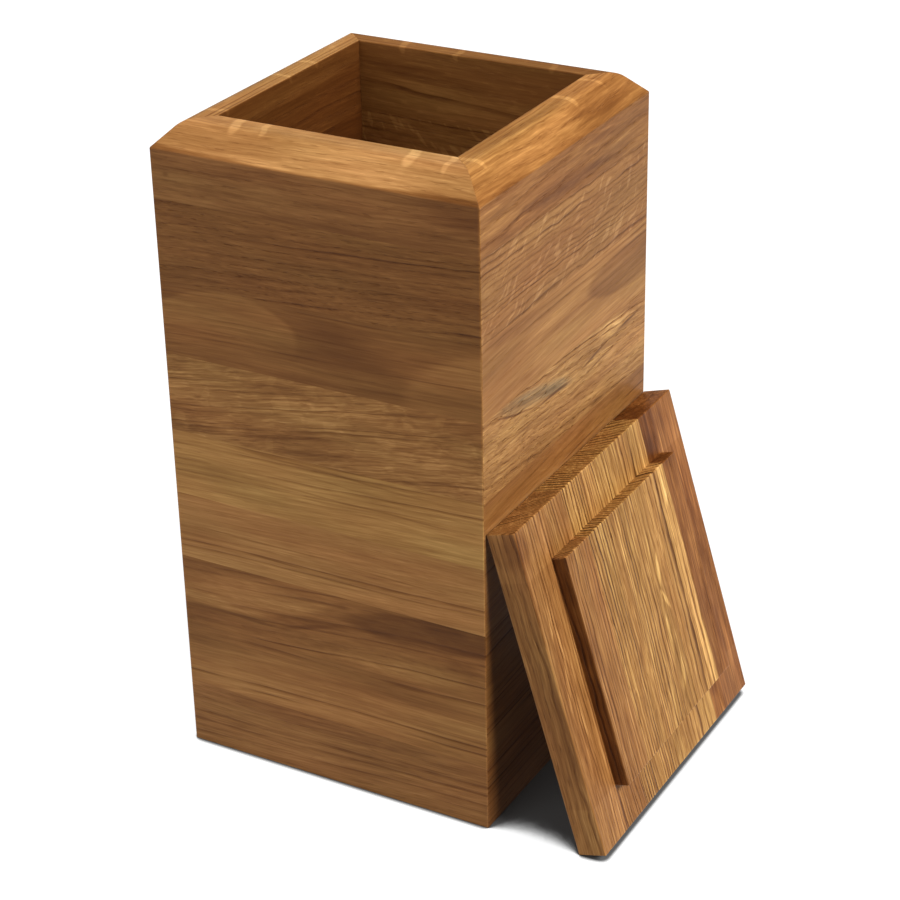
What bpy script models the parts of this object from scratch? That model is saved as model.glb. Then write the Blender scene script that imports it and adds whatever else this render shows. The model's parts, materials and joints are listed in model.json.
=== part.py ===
"""A tall square oak canister with a loose lid, as glued staves.

Four mitred walls of nine horizontal staves each stand round a bottom of three boards. The lid is
four boards with a square plug milled on its inner side. It leans on the right-hand wall, plug side
outwards. The origin is the middle of the underside, the front is -Y, and units are metres.
"""

import math

import bmesh
import bpy
from mathutils import Matrix

# Canister
WIDTH = 0.150  # outside, both ways
WALL = 0.0205  # wall thickness, a planed oak board
RIM_CHAMFER = 0.0103  # 45 degrees, round the outer edge of the rim
WALL_STAVES = (0.0310, 0.0315, 0.0325, 0.0310, 0.0300, 0.0355, 0.0330, 0.0355, 0.0315)
HEIGHT = sum(WALL_STAVES)
BOTTOM_THICKNESS = 0.012
BOTTOM_BOARDS = 3

# Lid
LID = 0.1482  # outside, both ways
LID_STAVES = (0.0410, 0.0410, 0.0330, 0.0332)
LID_THICKNESS = 0.0131  # at the margin that rests on the rim
PLUG = 0.1058  # both ways, a loose fit in the opening
PLUG_HEIGHT = 0.0064
LID_FOOT = 0.0420  # how far the lid's lower edge stands out from the wall

# Pieces that touch are modelled this far apart
GAP = 0.0003

HALF = WIDTH / 2
OPENING = WIDTH - 2 * WALL
LEAN = math.asin(LID_FOOT / LID)

# Oiled oak, linear colour
TONES = {
    "oak_pale": (0.52, 0.31, 0.14),
    "oak_honey": (0.42, 0.22, 0.085),
    "oak_brown": (0.27, 0.135, 0.055),
    "oak_dark": (0.18, 0.085, 0.035),
    "oak_red": (0.33, 0.145, 0.065),
}
ROUGHNESS = 0.48

# The tone of each stave, bottom to top, and how far each wall is turned about Z
WALLS = {
    "front": (0, "brown honey brown honey honey honey dark dark honey"),
    "right": (90, "dark brown brown brown honey pale honey red honey"),
    "back": (180, "brown dark honey red honey brown honey brown honey"),
    "left": (270, "honey brown brown honey dark honey pale brown honey"),
}
LID_TONES = "honey honey pale red"
BOTTOM_TONES = "brown honey brown"


def clear_scene():
    for ob in list(bpy.data.objects):
        bpy.data.objects.remove(ob, do_unlink=True)


def oak(node, tone):
    """A material of the node's own, in one of the five tones of the staves."""
    material = bpy.data.materials.new(f"{node}_{tone}")
    material.use_nodes = True
    shader = material.node_tree.nodes["Principled BSDF"]
    shader.inputs["Base Color"].default_value = (*TONES[f"oak_{tone}"], 1.0)
    shader.inputs["Roughness"].default_value = ROUGHNESS
    shader.inputs["Metallic"].default_value = 0.0
    return material


def add_solid(node, bm, tone, parent=None, turn=0.0):
    """Makes a named object from bm, turned about Z by so many degrees or held by a parent."""
    bmesh.ops.recalc_face_normals(bm, faces=bm.faces)
    mesh = bpy.data.meshes.new(node)
    bm.to_mesh(mesh)
    bm.free()
    ob = bpy.data.objects.new(node, mesh)
    ob.data.materials.append(oak(node, tone))
    ob.rotation_euler.z = math.radians(turn)
    ob.parent = parent
    bpy.context.scene.collection.objects.link(ob)
    return ob


def mitred_stave(low, high, chamfer):
    """A wall stave of the front wall: its section runs along X between two 45 degree mitres.

    The section is (depth behind the outer face, height). With a chamfer the stave is the top one.
    """
    section = [(0.0, low), (0.0, high - chamfer)]
    if chamfer:
        section.append((chamfer, high))
    section += [(WALL, high), (WALL, low)]
    bm = bmesh.new()
    ends = []
    for side in (-1, 1):
        ends.append([
            bm.verts.new((side * (HALF - depth - GAP), depth - HALF, height))
            for depth, height in section
        ])
    bm.faces.new(ends[0])
    bm.faces.new(reversed(ends[1]))
    for i in range(len(section)):
        j = (i + 1) % len(section)
        bm.faces.new((ends[0][i], ends[1][i], ends[1][j], ends[0][j]))
    return bm


def board(low, high):
    """A plain board between two corners."""
    bm = bmesh.new()
    bmesh.ops.create_cube(bm, size=1.0)
    size = [b - a for a, b in zip(low, high)]
    middle = [(a + b) / 2 for a, b in zip(low, high)]
    bmesh.ops.transform(bm, matrix=Matrix.LocRotScale(middle, None, size), verts=bm.verts)
    return bm


def raise_plug(bm):
    """Raises the part of a lid board's inner side that lies within the plug."""
    middle_y = LID / 2
    cuts = [((side * PLUG / 2, 0, 0), (1, 0, 0)) for side in (-1, 1)]
    cuts += [((0, middle_y + side * PLUG / 2, 0), (0, 1, 0)) for side in (-1, 1)]
    for point, normal in cuts:
        everything = bm.verts[:] + bm.edges[:] + bm.faces[:]
        bmesh.ops.bisect_plane(bm, geom=everything, plane_co=point, plane_no=normal)

    def within_plug(face):
        centre = face.calc_center_median()
        sideways = abs(centre.x) < PLUG / 2
        endways = abs(centre.y - middle_y) < PLUG / 2
        return centre.z > LID_THICKNESS - GAP and sideways and endways

    top = [face for face in bm.faces if within_plug(face)]
    raised = bmesh.ops.extrude_face_region(bm, geom=top)["geom"]
    bmesh.ops.delete(bm, geom=top, context="FACES_ONLY")
    verts = [item for item in raised if isinstance(item, bmesh.types.BMVert)]
    bmesh.ops.translate(bm, vec=(0, 0, PLUG_HEIGHT), verts=verts)


def add_walls():
    for wall, (turn, tones) in WALLS.items():
        low = 0.0
        for number, (stave, tone) in enumerate(zip(WALL_STAVES, tones.split()), start=1):
            top = number == len(WALL_STAVES)
            high = low + stave
            solid = mitred_stave(low, high if top else high - GAP, RIM_CHAMFER if top else 0.0)
            add_solid(f"{wall}_stave_{number}", solid, tone, turn=turn)
            low = high


def add_bottom():
    """Boards laid side by side between the walls, flush with their lower edges."""
    reach = OPENING / 2 - GAP
    pitch = (2 * reach + GAP) / BOTTOM_BOARDS
    for number, tone in enumerate(BOTTOM_TONES.split(), start=1):
        left = -reach + (number - 1) * pitch
        solid = board((left, -reach, 0.0), (left + pitch - GAP, reach, BOTTOM_THICKNESS))
        add_solid(f"bottom_board_{number}", solid, tone)


def add_lid():
    """Boards in the lid's own frame: X across them, Y up the slope, Z out from the wall."""
    foot = bpy.data.objects.new("lid_foot", None)
    out = (math.cos(LEAN), 0.0, math.sin(LEAN))
    slope = (-math.sin(LEAN), 0.0, math.cos(LEAN))
    axes = Matrix(((0.0, 1.0, 0.0), slope, out)).transposed().to_4x4()
    foot.matrix_world = Matrix.Translation((HALF + GAP + LID_FOOT, 0.0, 0.0)) @ axes
    bpy.context.scene.collection.objects.link(foot)

    left = -LID / 2
    for number, (stave, tone) in enumerate(zip(LID_STAVES, LID_TONES.split()), start=1):
        last = number == len(LID_STAVES)
        right = left + stave
        solid = board((left, 0.0, 0.0), (right if last else right - GAP, LID, LID_THICKNESS))
        raise_plug(solid)
        add_solid(f"lid_board_{number}", solid, tone, parent=foot)
        left = right


clear_scene()
add_walls()
add_bottom()
add_lid()
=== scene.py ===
"""The looks of an oiled oak canister and its loose lid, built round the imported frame.

Every glued stave is remade with eased edges and cut from its own piece of solid oak: growth rings
round a pith, rays, pores and fibres in three dimensions, so that faces, edges and end grain agree.
Each piece is made in the frame of its wood, in metres, with X along the grain, and is then placed.
"""

import json
import math

import bmesh
import bpy
from mathutils import Matrix, Quaternion, Vector


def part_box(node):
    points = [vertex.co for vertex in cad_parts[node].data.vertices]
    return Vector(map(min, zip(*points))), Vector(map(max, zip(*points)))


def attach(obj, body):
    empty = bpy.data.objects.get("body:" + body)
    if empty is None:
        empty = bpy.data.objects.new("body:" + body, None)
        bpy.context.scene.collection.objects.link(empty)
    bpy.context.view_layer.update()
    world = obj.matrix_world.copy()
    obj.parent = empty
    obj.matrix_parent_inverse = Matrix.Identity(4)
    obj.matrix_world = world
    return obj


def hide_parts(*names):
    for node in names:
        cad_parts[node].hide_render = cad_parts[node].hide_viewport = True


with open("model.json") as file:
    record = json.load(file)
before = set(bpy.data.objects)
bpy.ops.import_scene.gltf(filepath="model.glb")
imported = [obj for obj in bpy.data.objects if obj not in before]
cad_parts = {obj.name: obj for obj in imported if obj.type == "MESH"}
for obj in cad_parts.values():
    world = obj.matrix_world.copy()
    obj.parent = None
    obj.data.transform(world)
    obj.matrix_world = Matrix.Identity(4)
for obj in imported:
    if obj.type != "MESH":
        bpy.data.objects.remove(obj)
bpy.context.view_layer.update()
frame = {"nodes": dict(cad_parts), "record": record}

MM = 0.001

# Edges and joints
EASE = 0.5 * MM  # radius of the sanded edges
CORNER_EASE = 0.6 * MM  # radius of the canister's upright corners
EASED_DEPTH = 0.75  # how far into the wall that radius runs out, as a share of its thickness
CORNER_BESIDE = 0.8 * MM  # the flat of a wall begins this far from its eased corner
JOINT_BESIDE = 0.05 * MM  # the flat of a piece begins this far from its glue lines
GLUED = EASE / 10  # edges closer than this to a glue line stay square
MITRE = 0.05 * MM  # each wall ends this far short of its mitre, which leaves a hairline
ARC_STEPS = 4  # steps round an eased edge
ROUND_STEPS = 12  # steps round the wide curve of the rim
RIM_CHAMFER = 10.3 * MM
RIM_ROUND = 9 * MM  # radius that blends the chamfer into the top of the rim
LID_THICKNESS = 13.1 * MM
PLUG = 105.8 * MM
PLUG_HEIGHT = 6.4 * MM
EASED_WIDTH = 1.5 * MM  # an eased edge has narrower faces than this, and a smaller radius
SQUARE = 0.9999  # a face whose normal has a share this large is square to its piece
SHARP = 0.5  # edges that turn further than this, in radians, are eased
SAME = 0.0001 * MM  # points closer than this are one

# Turns of the walls about Z, from the front one
WALLS = {"front": 0, "right": 90, "back": 180, "left": 270}

# The camera: its place, its azimuth, elevation and roll in degrees, and its lens
CAMERA_AT = (0.4770, -0.8075, 0.6072)
CAMERA_TURN = (29.64, 27.04, -1.24)
LENS = 96.12

# The soft distant lights: where each one stands, its spread in degrees, its strength, and whether
# it shows in reflections. The key and the fill make the main view, and the others help the rest
SUNS = {
    "key": ((0.74, -0.05, 0.66), 22, 3.8, True),
    "fill": ((-0.1, -0.9, 0.35), 60, 1.48, True),
    "rear": ((-0.7, 0.65, 0.12), 60, 1.1, False),
    "top": ((0.0, 0.0, 1.0), 20, 0.25, False),
}
AMBIENT = 0.09  # strength of the white room, where the camera doesn't look straight at it

# The floor, and how it shines of its own. The object takes that glow away where it leaves little of
# the floor's sky open, which paints its shadow on the floor: a thin line of contact, and the shelter
# between the wall and the lid. Each has its reach, and the open shares where the glow begins and is whole
FLOOR_SIZE = 12.0
FLOOR_GREY = 0.12
FLOOR_GLOW = 1.0
FLOOR_ROUGH = 0.9
FLOOR_SHINE = 0.1
CONTACT = (5 * MM, 0.5, 0.8)
SHELTER = (150 * MM, 0.34, 0.5)
SHADE_SAMPLES = 32

# How often rays recur per metre in most logs: along the grain, away from the pith and round it
RAYS = (45, 26, 1250)

# How a log lies to a piece: turn of the pith about the grain, dive and slope of the grain, in
# degrees; the distance to the pith and the ring width, in mm; and how often its rays recur
SAWN = {
    "flat": ((8, 2, 2.5), 70, 3.4, RAYS),
    "rim": ((20, 1, 1.0), 90, 2.6, (150, 60, 800)),
    "heart": ((172, -2, 3), 60, 3.8, RAYS),
    "rift": ((58, 2, 1.5), 100, 3.0, RAYS),
    "rise": ((70, -3, 4), 110, 3.4, RAYS),
    "fall": ((70, 3, -4), 110, 3.4, RAYS),
    "flame": ((82, -3, 10), 130, 2.6, (90, 90, 700)),
    "quarter": ((94, 5, 1), 130, 3.0, RAYS),
    "cross": ((99, -10, 1), 130, 2.4, (75, 75, 1500)),
    "fine": ((82, 2, 0.5), 140, 2.0, RAYS),
    "edge": ((57, 1, 0.3), 110, 1.7, (60, 40, 900)),
    "slant": ((68, 2, 1), 130, 3.0, RAYS),
    "smile": ((8, 1, 1), 34, 3.6, RAYS),
}

# Oiled oak at its middle darkness, linear. Each step of depth darkens it by TINT
TONES = {
    "golden": (0.362, 0.170, 0.0435),
    "honey": (0.362, 0.162, 0.0450),
    "russet": (0.370, 0.146, 0.037),
    "amber": (0.348, 0.154, 0.045),
    "copper": (0.372, 0.156, 0.039),
}
TINT = (0.51, 0.42, 0.34)
DRIFT = (0.10, -0.12, -0.09)  # how the slow drift between olive and red weighs on each channel
MINERAL = (0.205, 0.128, 0.058)  # the greyer tone of a streak of mineral
SHINE = 0.2
SHINE_TINT = (1.0, 0.82, 0.6, 1.0)
RELIEF = 0.2 * MM  # depth of the bump
RELIEF_STRENGTH = 0.8

MEAN = 0.5  # of every noise

# How often each noise recurs per metre, along the axes of the vector that it is read from
RECURS = {
    "sway": (6, 16, 16), "curl": (70, 90, 90), "ripple": (32, 240, 240), "uneven": (0, 120, 0),
    "faint": (22, 160, 60), "band": (9, 60, 12), "streak": (14, 140, 140), "fibre": (24, 620, 620),
    "hair": (70, 1500, 1500), "vessel": (190, 2600, 2600), "drift": (14, 70, 70),
}
SEED_STEPS = (1.7, 2.3)  # how much faster the seed moves a noise along Y and Z than along X
SWAY = 8 * MM
CURL = 2 * MM
RIPPLE = 1.3 * MM
UNEVEN = 2.4  # how far ring widths vary, in rings
BAND_RING = 3 * MM  # the width that a ring counts for in the noise of the bands

# Where each pattern sets in and is whole: earlywood over its ring, which then fades out again,
# faint stretches of a ring, pores and rays over their noise, and end grain over the normal
EARLY_RISE = (0.0, 0.10)
EARLY_FALL = (0.12, 0.55)
FAINT = (0.35, 0.6)
PORE = (0.56, 0.72)
RAY = (0.58, 0.66)
END = (0.5, 0.95)
LINE_CHANCE = 3.0  # the higher, the fewer rings show as lines
ROW_CHANCE = (0.45, 1.1)  # how strongly the weakest ring shows as a row, and what the strongest adds
ROW_FAINT = (0.5, 0.7)  # the same for the faintest stretch of a ring and the clearest
LINE_LATE = 0.3  # how much lines darken the latewood
OPEN_PORE = 0.2  # how much pores show outside the earlywood
MOTTLE = (0.8, 2.5)  # the share of mineral in the wood, and how much the fibres vary it
PLUG_SHADE_PATCHY = 0.6  # how much of the painted shade on the plug's sides shows where it is weakest

# What each kind of figure adds to the depth of colour, to the roughness and to the bump
# Edges are lighter and smoother: the smoothness is wear, and the lighter colour is partly wear and partly
# a painted highlight
DEPTH = {
    "late": 0.22, "band": 2.2, "streak": 1.3, "fibre": 1.7, "hair": 0.8, "pore": 0.5, "ray": -0.35,
    "end": 0.02, "wear_and_highlight": -0.15, "rows": -0.3,
}
END_RINGS = 0.9  # how much more the rings show on end grain
ROUGH = {"oil": 0.5, "pore": 0.16, "early": 0.05, "ray": -0.08, "wear_and_highlight": -0.06, "fibre": 0.1}
HEIGHT = {"fibre": 0.5, "early": -0.5, "pore": -0.8}

# Soft patches of figure: how their outlines sway, and how a crown fades over its height
STAIN_RECURS = (22, 70, 70)
STAIN_SWAY = (10 * MM, 0, 3 * MM)
CROWN_FADE = (-0.6, 0.5)

# Masks: worn edges, lighter partly from wear and partly from a painted highlight, painted shade in the
# upper well, and painted shade on the sides of the plug
EDGE_WEAR_AND_HIGHLIGHT_WIDTH = (1.2 * MM, 0.2 * MM)
# How much painted shade each wall gets on its side that faces the well
WELL_SHADE = {"front": 0.9, "right": 0.9, "back": 0.62, "left": 1.9}
WELL_SKIN = 0.5 * MM
WELL_FADE = (90 * MM, 200 * MM)  # the painted shade sets in between these heights
# Painted shade on the plug's sides along the grain: its strength, how far it reaches and rises, and its
# patches
PLUG_SHADE = 1.5
PLUG_SHADE_SKIN = (0.2 * MM, 0.7 * MM)
PLUG_SHADE_RISE = (-0.6 * MM, 0.4 * MM)
PLUG_SHADE_RECURS = (60, 0, 60)

WOOD_INPUTS = {
    "Position": "Vector", "Normal": "Vector", "Turn": "Vector", "Rays": "Vector", "Pith": "Float",
    "Ring": "Float", "Tone": "Color", "Line": "Float", "Rows": "Float", "Band": "Float",
    "Fibre": "Float", "Pore": "Float", "Fleck": "Float", "Sway": "Float", "Curl": "Float",
    "StainAndShade": "Float", "Mineral": "Float", "WearAndHighlight": "Float", "Seed": "Float",
}
WOOD_OUTPUTS = {"Color": "Color", "Roughness": "Float", "Height": "Float"}


class Graph:
    """Adds linked nodes to a tree, so that a pattern reads as arithmetic."""

    def __init__(self, tree):
        self.tree = tree

    def put(self, node, key, value):
        if isinstance(value, bpy.types.NodeSocket):
            self.tree.links.new(value, node.inputs[key])
        else:
            node.inputs[key].default_value = value

    def node(self, kind, inputs=(), **settings):
        node = self.tree.nodes.new(kind)
        for key, value in settings.items():
            setattr(node, key, value)
        for key, value in inputs:
            self.put(node, key, value)
        return node

    def math(self, operation, *values):
        return self.node("ShaderNodeMath", enumerate(values), operation=operation).outputs[0]

    def add(self, *values):
        total = values[0]
        for value in values[1:]:
            total = self.math("ADD", total, value)
        return total

    def times(self, *values):
        product = values[0]
        for value in values[1:]:
            product = self.math("MULTIPLY", product, value)
        return product

    def line(self, value, start, slope):
        """A straight line: where it starts, and how steeply it rises with the value."""
        return self.add(start, self.times(value, slope))

    def without(self, value):
        """What is left of 1."""
        return self.math("SUBTRACT", 1.0, value)

    def vector(self, operation, *values):
        node = self.node("ShaderNodeVectorMath", enumerate(values), operation=operation)
        return node.outputs["Value" if operation == "LENGTH" else "Vector"]

    def join(self, x, y, z):
        return self.node("ShaderNodeCombineXYZ", enumerate((x, y, z))).outputs[0]

    def split(self, vector):
        return self.node("ShaderNodeSeparateXYZ", (("Vector", vector),)).outputs

    def mix(self, factor, first, second):
        """The first vector at a factor of 0, the second at 1."""
        step = self.vector("SUBTRACT", second, first)
        return self.vector("MULTIPLY_ADD", step, self.join(factor, factor, factor), first)

    def noise(self, vector, detail=1.0, rough=0.5, colour=False):
        """Noise from 0 to 1 about MEAN, with features about one unit long."""
        inputs = (("Vector", vector), ("Scale", 1.0), ("Detail", detail), ("Roughness", rough))
        node = self.node("ShaderNodeTexNoise", inputs)
        return node.outputs["Color" if colour else "Fac"]

    def ramp(self, value, low, high):
        """0 below low and 1 above high, smooth between."""
        inputs = (("Value", value), ("From Min", low), ("From Max", high))
        return self.node("ShaderNodeMapRange", inputs, interpolation_type="SMOOTHSTEP").outputs[0]


def oak_tree():
    """An empty node group with the sockets of solid oak."""
    tree = bpy.data.node_groups.new("solid_oak", "ShaderNodeTree")
    for name, kind in WOOD_INPUTS.items():
        tree.interface.new_socket(name, in_out="INPUT", socket_type=f"NodeSocket{kind}")
    for name, kind in WOOD_OUTPUTS.items():
        tree.interface.new_socket(name, in_out="OUTPUT", socket_type=f"NodeSocket{kind}")
    return tree


def piece_noise(g, given):
    """A function that reads a noise by its name, at a place of its own for each seed."""
    recurs = {**RECURS, "rays": given["Rays"]}
    seed = given["Seed"]
    shift = g.join(seed, *(g.times(seed, step) for step in SEED_STEPS))

    def noise(name, vector, **settings):
        return g.noise(g.vector("MULTIPLY_ADD", vector, recurs[name], shift), **settings)

    return noise


def seen_from_pith(g, given, noise):
    """The place from the pith, with X along it, after the grain's slow bends and short curls."""
    def waves(name, amount):
        """Offsets across the grain."""
        wave = g.vector("SUBTRACT", noise(name, given["Position"], colour=True), (MEAN, MEAN, MEAN))
        return g.vector("MULTIPLY", wave, g.join(0, amount, amount))

    bent = g.vector("ADD", given["Position"], waves("sway", g.times(given["Sway"], SWAY)))
    bent = g.vector("ADD", bent, waves("curl", g.times(given["Curl"], CURL)))
    return g.node("ShaderNodeMapping", (
        ("Vector", bent), ("Rotation", given["Turn"]), ("Location", g.join(0, given["Pith"], 0)),
    )).outputs[0]


def round_pith(g, from_pith, pith):
    """The place as its distances along the pith, away from it and round it."""
    along, across, aside = g.split(from_pith)
    radius = g.math("SQRT", g.add(g.times(across, across), g.times(aside, aside)))
    return along, radius, g.times(g.math("ARCTAN2", aside, across), pith)


def growth_rings(g, given, noise, polar, radius):
    """Rings of uneven width and strength: a sharp line of earlywood, then dense latewood.

    Rows show on every ring, and lines on a few only. Gives the count of rings out to the place, its
    share of earlywood, how strongly that shows, and how dark the latewood is.
    """
    ripple = g.add(noise("ripple", given["Position"]), -MEAN)
    uneven = g.add(noise("uneven", polar), -MEAN)
    rippled = g.add(radius, g.times(ripple, RIPPLE))
    count = g.add(g.math("DIVIDE", rippled, given["Ring"]), g.times(uneven, UNEVEN))
    ring = g.math("FLOOR", count)
    share = g.math("SUBTRACT", count, ring)
    early = g.times(g.ramp(share, *EARLY_RISE), g.without(g.ramp(share, *EARLY_FALL)))
    chance = g.node("ShaderNodeTexWhiteNoise", (("Vector", g.join(ring, given["Seed"], 0)),)).outputs[0]
    faint = g.ramp(noise("faint", polar), *FAINT)
    line = g.times(given["Line"], g.math("POWER", chance, LINE_CHANCE), faint)
    uneven_row = g.times(g.line(chance, *ROW_CHANCE), g.line(faint, *ROW_FAINT))
    strength = g.add(g.times(given["Rows"], uneven_row), line)
    late = g.times(share, share, g.add(given["Rows"], g.times(given["Line"], LINE_LATE)))
    return count, early, strength, late


def oak_colour(g, given, noise, depth, fibre):
    """The tone at a depth of colour, drifting slowly between olive and red, with mineral streaks."""
    tint = g.join(*(g.math("POWER", base, depth) for base in TINT))
    drift = g.add(noise("drift", given["Position"]), -MEAN)
    hue = g.join(*(g.line(drift, 1.0, weight) for weight in DRIFT))
    colour = g.vector("MULTIPLY", g.vector("MULTIPLY", given["Tone"], tint), hue)
    mottled = g.times(given["Mineral"], g.line(fibre, *MOTTLE))
    return g.mix(mottled, colour, g.vector("MULTIPLY", tint, MINERAL))


def build_oak():
    """The node group of solid oak. Position is in metres from the piece's middle, X along the grain."""
    g = Graph(oak_tree())
    given = g.node("NodeGroupInput").outputs
    noise = piece_noise(g, given)
    from_pith = seen_from_pith(g, given, noise)
    along, radius, around = round_pith(g, from_pith, given["Pith"])
    polar = g.join(along, radius, around)
    count, early, strength, late = growth_rings(g, given, noise, polar, radius)

    # Broad bands follow the rings, and streaks, fibres and hairs follow the grain
    band_place = g.join(along, g.times(count, BAND_RING), around)
    band = g.add(noise("band", band_place, detail=2.0), -MEAN)
    streak = g.add(noise("streak", from_pith), -MEAN)
    fibre = g.add(noise("fibre", from_pith, detail=3.0, rough=0.7), -MEAN)
    hair = g.add(noise("hair", from_pith), -MEAN)
    vessel = noise("vessel", from_pith, detail=0.0)
    pores = g.times(g.ramp(vessel, *PORE), g.add(OPEN_PORE, early), given["Pore"])
    ray = g.times(g.ramp(noise("rays", polar), *RAY), given["Fleck"])

    # End grain drinks more oil
    end = g.ramp(g.math("ABSOLUTE", g.split(given["Normal"])[0]), *END)
    rings = g.add(g.times(early, strength), g.times(late, DEPTH["late"]))
    bands = g.add(g.times(band, DEPTH["band"]), g.times(streak, DEPTH["streak"]))
    fibres = g.add(g.times(fibre, DEPTH["fibre"]), g.times(hair, DEPTH["hair"]))
    depth = g.add(
        given["StainAndShade"], g.times(rings, g.line(end, 1.0, END_RINGS)),
        g.times(given["Band"], bands), g.times(given["Fibre"], fibres),
        g.times(pores, DEPTH["pore"]), g.times(ray, DEPTH["ray"]), g.times(end, DEPTH["end"]),
        g.times(given["WearAndHighlight"], DEPTH["wear_and_highlight"]), g.times(given["Rows"], DEPTH["rows"]),
    )
    rough = g.add(
        ROUGH["oil"], g.times(pores, ROUGH["pore"]), g.times(early, ROUGH["early"]),
        g.times(ray, ROUGH["ray"]), g.times(given["WearAndHighlight"], ROUGH["wear_and_highlight"]), g.times(fibre, ROUGH["fibre"]),
    )
    height = g.add(
        g.times(fibre, HEIGHT["fibre"]), g.times(early, strength, HEIGHT["early"]),
        g.times(pores, HEIGHT["pore"]),
    )
    colour = oak_colour(g, given, noise, depth, fibre)
    g.node("NodeGroupOutput", (("Color", colour), ("Roughness", rough), ("Height", height)))


def stain(g, place, spots, crown=False):
    """Signed darkness of soft-edged patches of figure, seen from the face of the piece.

    A spot is (x, z, half length, half height, tilt in degrees, darkness, softness), in mm. The
    lower half of a crown fades away, or its upper half when its half height is negative.
    """
    sway = g.noise(g.vector("MULTIPLY", place, STAIN_RECURS), colour=True)
    centred = g.vector("SUBTRACT", sway, (MEAN, MEAN, MEAN))
    swayed = g.vector("MULTIPLY_ADD", centred, STAIN_SWAY, place)
    total = 0.0
    for x, z, long, high, tilt, darkness, soft in spots:
        offset = g.vector("SUBTRACT", swayed, (x * MM, 0, z * MM))
        turned = g.node("ShaderNodeVectorRotate", (
            ("Vector", offset), ("Angle", math.radians(tilt)),
        ), rotation_type="Y_AXIS").outputs[0]
        scaled = g.vector("MULTIPLY", turned, (1 / (long * MM), 0, 1 / (high * MM)))
        inside = g.without(g.ramp(g.vector("LENGTH", scaled), 1 - soft, 1.0))
        if crown:
            inside = g.times(inside, g.ramp(g.split(scaled)[2], *CROWN_FADE))
        total = g.add(total, g.times(inside, darkness))
    return total


def edge_mask(g, place, box):
    """1 along the edges of a box, given in the same frame as the place, fading within EDGE_WEAR_AND_HIGHLIGHT_WIDTH."""
    low, high = box
    half = (high - low) / 2
    off = g.vector("ABSOLUTE", g.vector("SUBTRACT", place, (low + high) / 2))
    x, y, z = g.split(g.vector("SUBTRACT", off, half))
    pairs = [g.math("MINIMUM", a, b) for a, b in ((x, y), (y, z), (x, z))]
    nearest = g.math("MAXIMUM", g.math("MAXIMUM", pairs[0], pairs[1]), pairs[2])
    return g.ramp(nearest, *(-width for width in EDGE_WEAR_AND_HIGHLIGHT_WIDTH))


def well_shade_mask(dark):
    """Paints shade on the upper part of the side of a wall that faces the well."""
    def mask(g, place):
        x, depth, height = g.split(place)
        inside = g.ramp(depth, WALL - HALF - WELL_SKIN, WALL - HALF)
        return g.times(inside, g.ramp(height, *WELL_FADE), dark)

    return mask


def plug_shade_mask(g, place):
    """Paints shade on the sides of the plug that run along the grain."""
    x, y, z = g.split(place)
    off = g.math("ABSOLUTE", g.add(g.math("ABSOLUTE", z), -PLUG / 2))
    side = g.without(g.ramp(off, *PLUG_SHADE_SKIN))
    raised = g.ramp(y, *(LID_THICKNESS + rise for rise in PLUG_SHADE_RISE))
    patchy = g.add(PLUG_SHADE_PATCHY, g.noise(g.vector("MULTIPLY", place, PLUG_SHADE_RECURS), detail=2.0))
    return g.times(side, raised, patchy, PLUG_SHADE)


def no_mask(g, place):
    return 0.0


def in_wood(g, matrix):
    """The place and the normal in the frame of the piece's wood."""
    coordinates = g.node("ShaderNodeTexCoord").outputs
    turned = ("Rotation", matrix.to_euler())
    place = g.node("ShaderNodeMapping", (
        ("Vector", coordinates["Object"]), turned, ("Location", matrix.translation),
    ), vector_type="TEXTURE")
    normal = g.node("ShaderNodeMapping", (
        ("Vector", coordinates["Normal"]), turned,
    ), vector_type="TEXTURE")
    return place.outputs[0], normal.outputs[0]


def oak_material(name, matrix, middle, boxes, mask, cut):
    """Oiled oak for one piece: where its wood lies, how its log lay, its tone and its figure."""
    turn, pith, ring, rays = SAWN[cut["sawn"]]
    material = bpy.data.materials.new(name)
    material.use_nodes = True
    g = Graph(material.node_tree)
    place, normal = in_wood(g, matrix)
    # Lighter, smoother edges: partly wear, partly a painted highlight
    wear_and_highlight = 0.0
    for box in boxes:
        wear_and_highlight = g.math("MAXIMUM", wear_and_highlight, edge_mask(g, place, box))
    spots = stain(g, place, cut["spots"])
    crowns = stain(g, place, cut["crowns"], crown=True)
    values = {
        "Position": g.vector("SUBTRACT", place, middle),
        "Normal": normal,
        "Turn": tuple(math.radians(angle) for angle in turn),
        "Rays": rays,
        "Pith": pith * MM,
        "Ring": ring * MM,
        "Tone": (*TONES[cut["tone"]], 1.0),
        # Figure and stains, plus painted shade from the mask: in the upper well, and on the plug's sides
        "StainAndShade": g.add(spots, crowns, mask(g, place), cut["shade"]),
        "Mineral": stain(g, place, cut["mineral"]),
        "WearAndHighlight": wear_and_highlight,
        "Seed": cut["seed"],
    }
    oak = g.node("ShaderNodeGroup", (), node_tree=bpy.data.node_groups["solid_oak"])
    for key, value in {**values, **cut["look"]}.items():
        g.put(oak, key, value)
    bump = g.node("ShaderNodeBump", (
        ("Height", oak.outputs["Height"]), ("Distance", RELIEF), ("Strength", RELIEF_STRENGTH),
    ))
    shader = material.node_tree.nodes["Principled BSDF"]
    g.put(shader, "Base Color", oak.outputs["Color"])
    g.put(shader, "Roughness", oak.outputs["Roughness"])
    g.put(shader, "Normal", bump.outputs[0])
    shader.inputs["Specular IOR Level"].default_value = SHINE
    shader.inputs["Specular Tint"].default_value = SHINE_TINT
    return material


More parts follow.
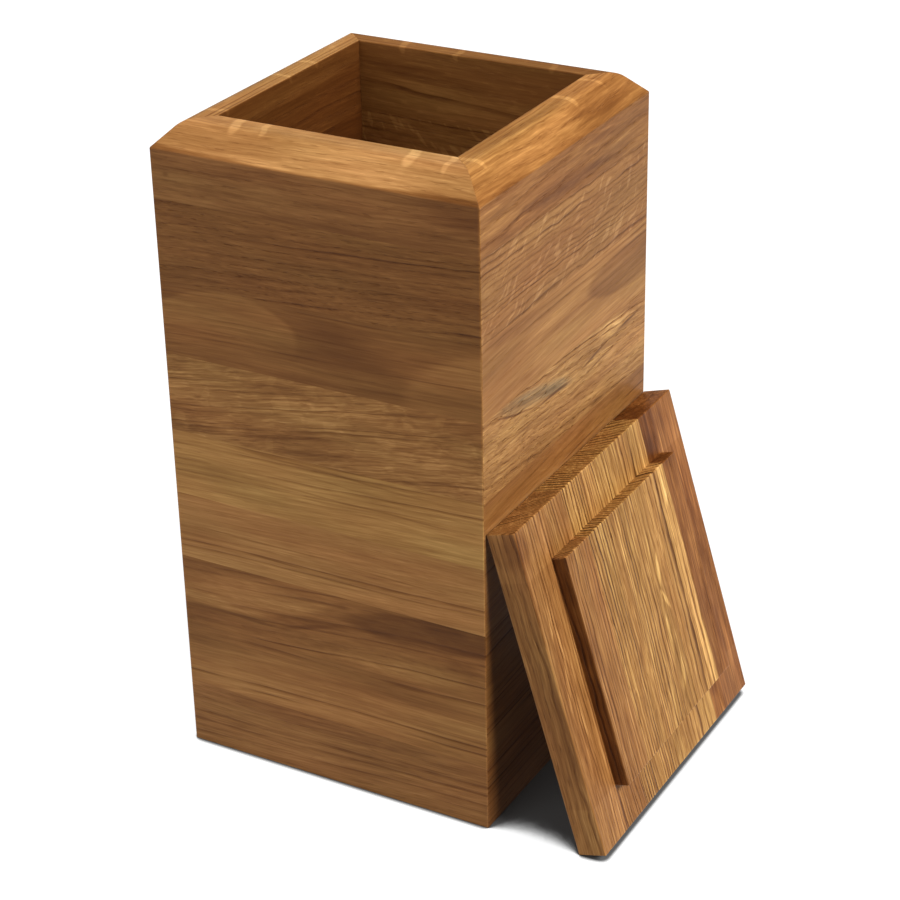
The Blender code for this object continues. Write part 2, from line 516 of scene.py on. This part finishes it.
def finish_piece(node, bm, matrix, body, boxes, mask, cut):
    """Makes the visible piece that stands for a CAD node, and gives it its wood."""
    bmesh.ops.remove_doubles(bm, verts=bm.verts, dist=SAME)
    bmesh.ops.recalc_face_normals(bm, faces=bm.faces)
    bm.normal_update()
    for face in bm.faces:
        narrow = face.calc_area() < EASED_WIDTH * max(edge.calc_length() for edge in face.edges)
        face.smooth = narrow and max(abs(share) for share in face.normal) < SQUARE
    low = Vector(map(min, zip(*(vert.co for vert in bm.verts))))
    high = Vector(map(max, zip(*(vert.co for vert in bm.verts))))
    bm.transform(matrix)
    mesh = bpy.data.meshes.new(f"oak_{node}")
    bm.to_mesh(mesh)
    bm.free()
    piece = bpy.data.objects.new(f"oak_{node}", mesh)
    bpy.context.scene.collection.objects.link(piece)
    mesh.materials.append(oak_material(f"oak_{node}", matrix, (low + high) / 2, boxes, mask, cut))
    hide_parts(node)
    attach(piece, body)


def eased(corners, radii):
    """The closed outline through the corners, each rounded where an arc of its radius would run.

    The curve is a parabola, which meets both sides at the ends of that arc.
    """
    points = []
    for i, (corner, radius) in enumerate(zip(corners, radii)):
        here = Vector(corner)
        if not radius:
            points.append(here)
            continue
        before = (Vector(corners[i - 1]) - here).normalized()
        after = (Vector(corners[(i + 1) % len(corners)]) - here).normalized()
        reach = radius / math.tan(before.angle(after) / 2)
        start = here + before * reach
        end = here + after * reach
        steps = ARC_STEPS if radius < EASED_WIDTH else ROUND_STEPS
        for k in range(steps + 1):
            share = k / steps
            points.append(start.lerp(here, share).lerp(here.lerp(end, share), share))
    return points


def wall_row(depth, height):
    """Points along a wall at one depth and height, from mitre to mitre.

    The upright corner is eased, less and less on the way in. A point beside it keeps its shading
    off the flat of the wall.
    """
    ease = CORNER_EASE * max(0.0, 1 - depth / (EASED_DEPTH * WALL))
    centre = HALF - depth - ease
    right = [(centre - CORNER_BESIDE, -ease - centre, height)]
    for k in range(ARC_STEPS + 1):
        angle = math.radians(45 * k / ARC_STEPS - 90)
        right.append((centre + ease * math.cos(angle) - MITRE, ease * math.sin(angle) - centre, height))
    left = [(-x, y, z) for x, y, z in reversed(right)]
    return left + right


def wall_stave(low, high, first, last):
    """A mitred stave as a loft round its section. The last one carries the chamfered rim.

    The section is a list of depths, heights and radii.
    """
    section = [(0, low, EASE)] if first else [(0, low, 0), (0, low + JOINT_BESIDE, 0)]
    if last:
        section += [(0, high - RIM_CHAMFER, 2 * EASE), (RIM_CHAMFER, high, RIM_ROUND), (WALL, high, EASE)]
    else:
        section += [(0, high - JOINT_BESIDE, 0), (0, high, 0), (WALL, high, 0)]
    section.append((WALL, low, 0))
    corners = [corner[:2] for corner in section]
    radii = [corner[2] for corner in section]
    bm = bmesh.new()
    rows = [[bm.verts.new(point) for point in wall_row(*corner)] for corner in eased(corners, radii)]
    for row, following in zip(rows, rows[1:] + rows[:1]):
        for j in range(len(row) - 1):
            bm.faces.new((row[j], row[j + 1], following[j + 1], following[j]))
    bm.faces.new([row[0] for row in rows])
    bm.faces.new([row[-1] for row in rows])
    return bm


def block(low, high):
    """A plain box between two corners."""
    bm = bmesh.new()
    bmesh.ops.create_cube(bm, size=1.0)
    low = Vector(low)
    high = Vector(high)
    placed = Matrix.LocRotScale((low + high) / 2, None, high - low)
    bmesh.ops.transform(bm, matrix=placed, verts=bm.verts)
    return bm


def slice_mesh(bm, point, normal):
    """Adds edges where a plane meets the mesh."""
    everything = bm.verts[:] + bm.edges[:] + bm.faces[:]
    bmesh.ops.bisect_plane(bm, geom=everything, plane_co=point, plane_no=normal)


def raise_plug(bm):
    """Raises the part of the lid's outer face that lies inside the plug's outline."""
    top = []
    for face in bm.faces:
        x, y, z = face.calc_center_median()
        if y > LID_THICKNESS - SAME and abs(x - LID / 2) < PLUG / 2 and abs(z) < PLUG / 2:
            top.append(face)
    raised = bmesh.ops.extrude_face_region(bm, geom=top)["geom"]
    bmesh.ops.delete(bm, geom=top, context="FACES")
    corners = [part for part in raised if isinstance(part, bmesh.types.BMVert)]
    bmesh.ops.translate(bm, vec=(0, PLUG_HEIGHT, 0), verts=corners)
    bmesh.ops.recalc_face_normals(bm, faces=bm.faces)


def lid_board(left, right, first, last):
    """A lid board in its own frame: X up the slope, Y out from the wall and Z across the lid."""
    bm = block((0, 0, left), (LID, LID_THICKNESS, right))
    for x in (LID / 2 - PLUG / 2, LID / 2 + PLUG / 2):
        slice_mesh(bm, (x, 0, 0), (1, 0, 0))
    for z in (-PLUG / 2, PLUG / 2):
        slice_mesh(bm, (0, 0, z), (0, 0, 1))
    glued = []
    if not first:
        glued.append(left)
        slice_mesh(bm, (0, 0, left + JOINT_BESIDE), (0, 0, 1))
    if not last:
        glued.append(right)
        slice_mesh(bm, (0, 0, right - JOINT_BESIDE), (0, 0, 1))
    raise_plug(bm)

    def on_glue_line(edge):
        return any(all(abs(vert.co.z - side) < GLUED for vert in edge.verts) for side in glued)

    sharp = [e for e in bm.edges if e.is_convex and e.calc_face_angle() > SHARP and not on_glue_line(e)]
    bmesh.ops.bevel(bm, geom=sharp, offset=EASE, segments=ARC_STEPS, profile=0.5, affect="EDGES")
    return bm


def in_order(prefix, axis):
    """The nodes whose names begin so, sorted by their low sides along an axis, X being 0."""
    nodes = [node for node in frame["nodes"] if node.startswith(prefix)]
    return sorted(nodes, key=lambda node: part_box(node)[0][axis])


def add_walls():
    """Every wall is made as the front one, and turned to its place."""
    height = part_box("front_stave_9")[1].z
    outside = (Vector((-HALF, -HALF, 0)), Vector((HALF, HALF, height)))
    for wall, turn in WALLS.items():
        # Each wall gets its painted shade in the upper well
        mask = well_shade_mask(WELL_SHADE[wall])
        nodes = in_order(f"{wall}_stave_", 2)
        lows = [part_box(node)[0].z for node in nodes]
        highs = lows[1:] + [height]
        for i, node in enumerate(nodes):
            bm = wall_stave(lows[i], highs[i], i == 0, i == len(nodes) - 1)
            turned = Matrix.Rotation(math.radians(turn), 4, "Z")
            finish_piece(node, bm, turned, "canister", [outside], mask, WALL_WOOD[wall][i])


def add_bottom():
    """The grain of the boards runs along Y, so each is made along X and turned."""
    turned = Matrix.Rotation(math.radians(90), 4, "Z")
    for node, cut in zip(in_order("bottom_board_", 0), BOTTOM_WOOD):
        low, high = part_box(node)
        bm = block((low.y, -high.x, low.z), (high.y, -low.x, high.z))
        finish_piece(node, bm, turned, "canister", [], no_mask, cut)


def add_lid():
    """The lid stands on one edge, and leans on the right wall with the edge above.

    X of its frame runs up the slope, and Y out along the axis of its joint, to the plug.
    """
    out = Vector(frame["record"]["behaviour"]["joints"][0]["axis"])
    slope = Vector((-out.z, 0.0, out.x))
    foot = Vector((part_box("lid_board_1")[0].x + LID * out.z, 0.0, 0.0))
    matrix = Matrix.Translation(foot) @ Matrix((slope, out, (0.0, 1.0, 0.0))).transposed().to_4x4()
    nodes = in_order("lid_board_", 1)
    lefts = [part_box(node)[0].y for node in nodes]
    rights = lefts[1:] + [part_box(nodes[-1])[1].y]
    panel = (Vector((0, 0, -LID / 2)), Vector((LID, LID_THICKNESS, LID / 2)))
    margin = (LID - PLUG) / 2
    plug = (panel[0] + Vector((margin, 0, margin)), panel[1] + Vector((-margin, PLUG_HEIGHT, -margin)))
    for i, node in enumerate(nodes):
        bm = lid_board(lefts[i], rights[i], i == 0, i == len(nodes) - 1)
        # The boards get painted shade on the sides of the plug
        finish_piece(node, bm, matrix, "lid", [panel, plug], plug_shade_mask, LID_WOOD[i])


def wood(sawn, seed, shade, *spots, tone="honey", crowns=(), mineral=(), line=1.0, rows=0.12, band=0.5,
         fibre=0.75, pore=0.3, fleck=0.3, sway=1.0, curl=0.0):
    """How one piece was sawn, how dark it is, and how much it shows of each kind of figure."""
    look = {"Line": line, "Rows": rows, "Band": band, "Fibre": fibre, "Pore": pore, "Fleck": fleck}
    look.update({"Sway": sway, "Curl": curl})
    return {
        "sawn": sawn, "seed": float(seed), "tone": tone, "shade": shade, "spots": spots,
        "crowns": crowns, "mineral": mineral, "look": look,
    }


# Each wall's staves, bottom to top. The spots are as stain() takes them, in mm, with x from the
# middle of the wall and z from the canister's underside
WALL_WOOD = {
    "front": [
        wood(
            "rift", 1, 0.42, (0, 26, 100, 6, 0, 0.2, 0.8), (40, 20.9, 35, 0.6, 0, 0.35, 0.9),
            (50, 14, 20, 1, 3, -0.3, 0.9), (-60, 12, 20, 1.2, 1, -0.3, 0.9),
            tone="amber", line=0.6, rows=0.15, fibre=1.0, pore=0.5,
        ),
        wood(
            "rift", 2, 0.34, (-20, 38, 110, 8, -1, -0.25, 0.7), (-75, 57, 30, 14, 0, 0.35, 0.8),
            (45, 54, 35, 3.5, 0, 0.3, 0.8), (50, 46, 45, 10, 0, -0.3, 0.8),
        ),
        wood(
            "rise", 3, 0.56, (-45, 71.8, 36, 1.6, 0, 0.7, 0.8), (-10, 76, 20, 1.7, 15, 0.7, 0.8),
            (54, 89, 52, 9, 5, 1.0, 0.35), (55, 92, 14, 6, 0, 0.3, 0.7),
            (46, 82.4, 20, 0.7, 2, -0.4, 0.8), (66, 77, 14, 4, 0, 0.35, 0.7),
            (-40, 85, 34, 8, 2, -0.2, 0.6), (30, 67, 45, 5, 2, -0.3, 0.8),
            (-70, 68, 22, 9, 0, 0.3, 0.8), crowns=((-42, 88, 50, -15, 8, -0.5, 0.2),),
        ),
        wood(
            "rift", 4, -0.06, (-35, 111.5, 45, 0.7, -0.8, 0.45, 0.9), (35, 110.3, 35, 0.6, 0, 0.4, 0.9),
            (-25, 104, 25, 0.6, -1, 0.4, 0.9), (-62, 108, 22, 6, 0, 0.25, 0.8),
            (-40, 126, 40, 0.8, -1.5, -0.4, 0.9), (10, 99, 80, 4, 0, -0.2, 0.8),
            (-20, 118, 80, 6, 0, 0.12, 0.8),
            band=0.3,
        ),
        wood(
            "rift", 5, -0.20, (0, 153, 85, 0.8, -1.2, 0.45, 0.9), (20, 141, 75, 0.7, -1, 0.45, 0.9),
            (10, 148.5, 30, 0.5, -1, 0.3, 0.9), (50, 148.3, 28, 0.5, 0, 0.3, 0.9),
            (-8, 137.8, 14, 0.8, 0, -0.35, 0.9), (35, 137.5, 25, 0.7, -1, -0.3, 0.9),
            (30, 133, 50, 5, 0, -0.15, 0.8),
            tone="golden",
        ),
        wood(
            "flame", 6, 0.24, (-62, 160, 22, 2.6, 1, 0.45, 0.7), (-12, 165.5, 32, 1.9, 8.5, 0.55, 0.7),
            (-2, 160, 26, 4, 3, 0.35, 0.7), (57, 161.5, 22, 1.2, 12, 0.6, 0.8),
            (42, 173.5, 13, 0.8, 14, 0.4, 0.9), (60, 188, 18, 3, 5, 0.25, 0.8),
            fleck=0.5, curl=1.0, rows=0.14, line=0.5, band=0.7, fibre=1.4, pore=0.4,
        ),
        wood(
            "rift", 7, 0.82, (12, 211, 32, 15, -8, 0.45, 0.9), (-5, 192.8, 35, 1.3, 0, 0.35, 0.9),
            (-30, 227, 60, 4, 0, 0.25, 0.8), crowns=(
                (-46, 205.5, 38, 19, 6, -0.5, 0.12), (76, 200, 42, 22, 14, -0.5, 0.25),
            ), line=0.5,
        ),
        wood(
            "rise", 8, 0.78, (-50, 228, 28, 0.7, 2, 0.45, 0.9), (-8, 231.2, 18, 0.7, 6, 0.45, 0.9),
            (40, 236, 38, 0.6, 5.5, 0.45, 0.9), (0, 241.2, 25, 0.6, 3, 0.3, 0.9),
            (40, 255, 40, 0.7, 2, 0.3, 0.9), pore=0.9, band=0.25, fibre=0.9, curl=0.3,
        ),
        wood(
            "rim", 9, 0.57, (66, 276, 34, 14, 0, 0.5, 0.9), (-62, 276, 34, 12, 0, -0.14, 0.9),
            (25, 261, 85, 5, 2, 0.45, 0.6), (30, 266, 30, 0.9, 4, 0.4, 0.9),
            (58, 266.8, 15, 1, -2, 0.4, 0.9), (-68, 271.3, 2.2, 1.6, 0, 0.5, 0.9),
            (45, 271.5, 32, 0.9, 4.5, -0.35, 0.9), (50, 274.5, 28, 0.7, 4, -0.3, 0.9),
            (40, 269.3, 25, 0.6, 4, -0.25, 0.9), (-22, 272, 12, 8, 0, -0.15, 0.7),
            (-62, 275, 14, 0.5, 0, 0.35, 0.9), (0, 292, 150, 11, 0, -0.88, 0.1),
            (-43, 292, 3, 3.5, 0, -0.5, 0.5), (-30, 292, 2, 3, 0, -0.4, 0.5),
            (38, 292, 3.5, 4, 0, -0.5, 0.5), (56, 292, 2, 4, 0, -0.4, 0.5),
            tone="amber", fleck=0.3, rows=0.06, line=0.4, band=0.7, fibre=0.9, pore=0.6, curl=0.5,
        ),
    ],
    "right": [
        # These lower staves get darker towards the bottom: painted shade under the leaning lid
        wood("rift", 21, 1.1, rows=0.3),
        wood("rift", 22, 0.9),
        wood("rise", 23, 0.8),
        wood("rift", 24, 0.6),
        wood("rise", 25, 0.4),
        wood(
            "fall", 26, -0.08, (-48, 184.4, 22, 0.8, -17, 1.3, 0.8),
            (-13, 178.4, 18, 1.1, 0, 1.5, 0.8), (23, 180.4, 20, 0.9, 5, 1.3, 0.8),
            (58, 183.4, 18, 0.9, 5, 1.2, 0.8), (-40, 174, 34, 0.7, 0, 0.8, 0.9),
            (30, 176.5, 38, 0.7, 3, 0.8, 0.9), (48, 187.5, 26, 3, -8, -0.45, 0.7),
            (38, 186, 18, 5, -12, -0.45, 0.6), (-33, 184.5, 30, 1.6, -12, 0.5, 0.7),
            (0, 158, 90, 3, 0, 0.25, 0.8), (-55, 176, 28, 14, 0, -0.2, 0.9), mineral=(
                (-31, 185, 38, 5, -11, 0.5, 0.4), (-22, 183.2, 30, 3.6, -13, 0.45, 0.5),
            ), pore=1.1, fibre=1.4, curl=1.0,
        ),
        wood(
            "rift", 27, 0.03, (-48, 221, 35, 4, -3, 0.3, 0.7), (-50, 196, 38, 4.5, -2, 0.3, 0.7),
            (80, 209, 66, 11, -2, 0.55, 0.15), (10, 213, 70, 5, 3, -0.3, 0.7),
            (-20, 203, 50, 4, -2, -0.2, 0.8), line=0.5,
        ),
        wood(
            "cross", 28, 0.31, (0, 257, 100, 4, 0, -0.2, 0.8),
            fleck=1.0, rows=0.6, line=0.2, band=0.25, curl=1.2, pore=0.4,
        ),
        wood(
            "rim", 29, 0.23, (-15, 267, 32, 4, 0, 0.45, 0.5), (-48, 266, 20, 1.5, 14, 0.35, 0.8),
            (25, 266, 25, 3, -6, 0.35, 0.7), (-40, 265.4, 13, 0.8, -2, -0.45, 0.8),
            (28, 273.5, 35, 1.0, -5, -0.35, 0.8), (35, 278, 25, 0.8, -8, -0.35, 0.8),
            (-65, 277.6, 12, 0.8, -1, -0.4, 0.8), (65, 272, 15, 6, -8, 0.2, 0.8),
            (0, 292, 150, 11, 0, -0.4, 0.1), (23, 292, 2.5, 4, 0, -0.5, 0.5),
            (50, 292, 2, 3, 0, -0.4, 0.5), (-56, 292, 2, 4, 0, -0.4, 0.5),
            tone="copper", fleck=0.3, rows=0.08, line=0.4, band=0.9, fibre=1.1, pore=0.6, curl=0.6,
        ),
    ],
    "back": [
        wood("flat", 41, 0.5),
        wood("rift", 42, 0.8),
        wood("quarter", 43, 0.1, fleck=0.6),
        wood("heart", 44, 0.5, tone="russet"),
        wood("rise", 45, 0.1),
        wood("fall", 46, 0.45),
        wood("rift", 47, 0.05),
        wood("cross", 48, 0.1, fleck=1.2, rows=0.5),
        wood(
            "rim", 49, 0.3, (0, 292, 150, 11, 0, 0.15, 0.1), (20, 280, 40, 5, 5, 0.4, 0.6),
            (33, 292, 2.5, 4, 0, -0.5, 0.5), (5, 292, 2, 4, 0, -0.5, 0.5),
            (-39, 292, 2, 3, 0, -0.4, 0.5), fleck=0.5,
        ),
    ],
    "left": [
        wood("rise", 61, 0.1),
        wood("rift", 62, 0.5),
        wood("fall", 63, 0.5),
        wood("quarter", 64, 0.1, fleck=0.6),
        wood("heart", 65, 0.75),
        wood("rift", 66, 0.05),
        wood("rise", 67, -0.1),
        wood("flat", 68, 0.5),
        wood(
            "rim", 69, 0.15, (0, 292, 150, 11, 0, -0.46, 0.1), (-21, 292, 1.5, 4, 0, -0.4, 0.5),
            (-1, 292, 1.5, 4, 0, -0.4, 0.5), (50, 292, 2, 4, 0, -0.4, 0.5), fleck=0.5,
        ),
    ],
}

BOTTOM_WOOD = [wood("rift", 81, 0.1), wood("flat", 82, -0.3), wood("rise", 83, 0.1)]

# The lid's boards from front to back. Here x runs up the slope, and z across from its middle
LID_WOOD = [
    wood(
        "edge", 95, 0.38, (75, -66, 80, 9, 0, 0.2, 0.6), (75, -78, 120, 5.2, 0, 0.3, 0.3),
        (108, -66, 13, 1.5, 14, -0.5, 0.5), (92, -63, 13, 1.5, -9, -0.5, 0.5),
        (76, -66.5, 14, 1.6, 13, -0.5, 0.5), (58, -63.5, 12, 1.5, -11, -0.5, 0.5),
        (38, -67, 14, 1.6, 9, -0.5, 0.5), (140, -75, 10, 14, 0, 0.5, 0.7),
        tone="honey", fleck=0.5, rows=0.75, line=0.4, band=0.4, fibre=1.5, pore=0.8, curl=0.6,
    ),
    wood(
        "fine", 92, 0.08, (140, -12, 14, 24, 0, -0.14, 0.6),
        fleck=0.3, rows=1.3, fibre=1.8, pore=1.0, curl=0.8, tone="golden",
    ),
    wood(
        "slant", 93, -0.06, (88, 14.8, 10, 1.8, 12, -0.75, 0.5), (73, 14.1, 8, 1.7, -25, -0.8, 0.5),
        (58, 9.5, 11, 1.8, 8, -0.75, 0.5), (41.5, 12.5, 10, 2.2, 18, -0.75, 0.5),
        (75, 36.6, 66, 5, 0, -0.55, 0.25), (75, 33.6, 60, 0.7, 0, 0.4, 0.8),
        (115, 36, 8, 2, 0, -0.3, 0.5), (140, 24, 14, 22, 0, 0.16, 0.6),
        fleck=0.5, rows=1.0, fibre=1.6, pore=1.0, curl=0.8, tone="golden",
    ),
    wood(
        "smile", 94, 0.62, (146, 47, 27, 12, 4, 0.95, 0.6), (130, 46, 14, 8, 0, 0.6, 0.8),
        (140, 60, 10, 8, 0, 0.3, 0.7), (15, 43, 6, 8, 0, 0.35, 0.6),
        tone="russet", rows=0.1, line=0.6, fibre=2.2, pore=0.6,
    ),
]


def open_share(g, reach, low, high):
    """0 where the object closes off the sky within its reach, and 1 where it leaves enough open."""
    occlusion = g.node("ShaderNodeAmbientOcclusion", (("Distance", reach),), samples=SHADE_SAMPLES)
    return g.ramp(occlusion.outputs["AO"], low, high)


def floor_material():
    """A matt floor that glows, except where the object stands on it or shelters it."""
    material = bpy.data.materials.new("pale_floor")
    material.use_nodes = True
    g = Graph(material.node_tree)
    glow = g.times(open_share(g, *CONTACT), open_share(g, *SHELTER))
    shader = material.node_tree.nodes["Principled BSDF"]
    shader.inputs["Base Color"].default_value = (FLOOR_GREY, FLOOR_GREY, FLOOR_GREY, 1.0)
    shader.inputs["Roughness"].default_value = FLOOR_ROUGH
    shader.inputs["Specular IOR Level"].default_value = FLOOR_SHINE
    shader.inputs["Emission Color"].default_value = (1.0, 1.0, 1.0, 1.0)
    g.put(shader, "Emission Strength", g.times(glow, FLOOR_GLOW))
    return material


def add_floor():
    """A floor that shows in the object's sheen, and throws no other light on it."""
    mesh = bpy.data.meshes.new("floor")
    bm = bmesh.new()
    bmesh.ops.create_grid(bm, x_segments=1, y_segments=1, size=FLOOR_SIZE)
    bm.to_mesh(mesh)
    bm.free()
    mesh.materials.append(floor_material())
    floor = bpy.data.objects.new("floor", mesh)
    bpy.context.scene.collection.objects.link(floor)
    floor.visible_diffuse = False


def add_sun(name, towards, spread, strength, reflected):
    """A soft distant light that shines the same over the whole floor."""
    data = bpy.data.lights.new(name, "SUN")
    data.angle = math.radians(spread)
    data.energy = strength
    light = bpy.data.objects.new(name, data)
    light.rotation_mode = "QUATERNION"
    light.rotation_quaternion = Vector(towards).to_track_quat("Z", "Y")
    light.visible_glossy = reflected
    bpy.context.scene.collection.objects.link(light)


def add_lights():
    """The suns in a white room: the world is white to the camera, and lights more gently."""
    world = bpy.data.worlds.new("studio")
    world.use_nodes = True
    g = Graph(world.node_tree)
    seen = g.node("ShaderNodeLightPath").outputs["Is Camera Ray"]
    background = world.node_tree.nodes["Background"]
    background.inputs["Color"].default_value = (1.0, 1.0, 1.0, 1.0)
    g.put(background, "Strength", g.add(g.times(seen, 1 - AMBIENT), AMBIENT))
    bpy.context.scene.world = world
    for name, sun in SUNS.items():
        add_sun(name, *sun)


def add_camera():
    data = bpy.data.cameras.new("camera")
    data.lens = LENS
    camera = bpy.data.objects.new("camera", data)
    azimuth, elevation, roll = (math.radians(angle) for angle in CAMERA_TURN)
    level = math.cos(elevation)
    back = Vector((math.sin(azimuth) * level, -math.cos(azimuth) * level, math.sin(elevation)))
    camera.location = CAMERA_AT
    camera.rotation_mode = "QUATERNION"
    camera.rotation_quaternion = (-back).to_track_quat("-Z", "Y") @ Quaternion((0, 0, 1), roll)
    bpy.context.scene.collection.objects.link(camera)
    bpy.context.scene.camera = camera


HALF = -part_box("front_stave_1")[0].y
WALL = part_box("front_stave_1")[1].y + HALF
LID = 2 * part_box("lid_board_4")[1].y

bpy.context.scene.view_settings.view_transform = "Standard"
build_oak()
add_camera()
add_floor()
add_lights()
add_walls()
add_bottom()
add_lid()
